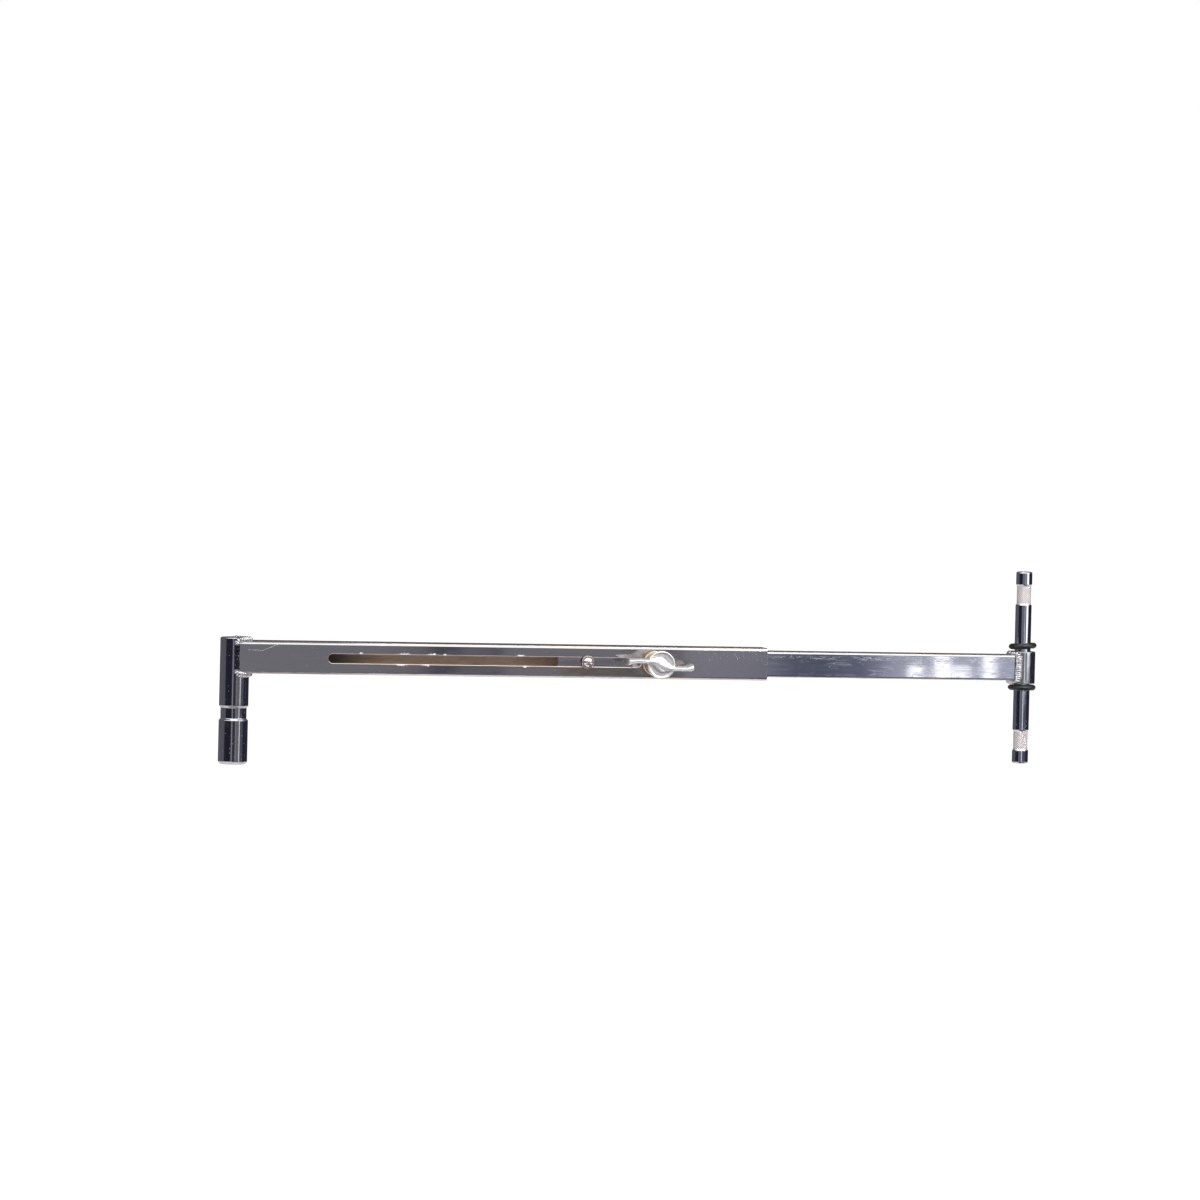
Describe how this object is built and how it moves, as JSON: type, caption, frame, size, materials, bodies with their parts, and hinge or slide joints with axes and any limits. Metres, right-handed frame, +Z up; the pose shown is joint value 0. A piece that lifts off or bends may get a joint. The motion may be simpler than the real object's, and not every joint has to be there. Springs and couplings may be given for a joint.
{
  "type": "stand extension arm",
  "caption": "Telescoping square-tube extension arm with a solid junior pin at one end, a T-handle clamp and limit screw, and a double-ended baby stud at the other end.",
  "frame": {"origin": "centre of the junior pin's lower end face, on the pin's axis", "axes": "+Z up along the junior pin; +X along the arm towards the stud; -Y towards the slot and the T-handle"},
  "size_m": [0.8121, 0.0769, 0.1991],
  "materials": {
    "dark_chrome": "worn chrome plate on steel",
    "bright_chrome": "bright chrome plate on steel",
    "weld_metal": "plated weld bead",
    "warm_steel": "turned steel with a warm plating",
    "cast_aluminium": "tumbled casting",
    "plain_steel": "plain turned steel",
    "pad_brass": "turned brass",
    "black_rubber": "satin black rubber"
  },
  "bodies": {
    "outer_arm": {"junior_pin": "dark_chrome", "outer_tube": "dark_chrome", "pin_weld": "weld_metal", "clamp_boss": "warm_steel"},
    "inner_arm": {"inner_tube": "bright_chrome", "limit_screw": "bright_chrome", "limit_washer": "bright_chrome", "limit_bush": "plain_steel", "limit_nut": "plain_steel", "end_sleeve": "bright_chrome", "sleeve_weld": "weld_metal", "baby_stud": "bright_chrome", "upper_ring": "black_rubber", "lower_ring": "black_rubber"},
    "pad": {"clamp_pad": "pad_brass"},
    "handle": {"t_handle": "cast_aluminium", "clamp_screw": "plain_steel"}
  },
  "joints": [
    {"name": "arm_extend", "type": "slide", "parent": "outer_arm", "child": "inner_arm", "axis": [1, 0, 0], "range_m": [-0.242, 0.045]},
    {"name": "pad_travel", "type": "slide", "parent": "outer_arm", "child": "pad", "axis": [0, -1, 0], "range_m": [0, 0.0024]},
    {"name": "handle_turn", "type": "hinge", "parent": "pad", "child": "handle", "pos_m": [0.4124, -0.01588, 0.10487], "axis": [0, -1, 0], "range_deg": [0, 540]}
  ],
  "couplings": [
    {"joint": "pad_travel", "follows": "handle_turn", "m_per_rad": 0.00025266}
  ]
}
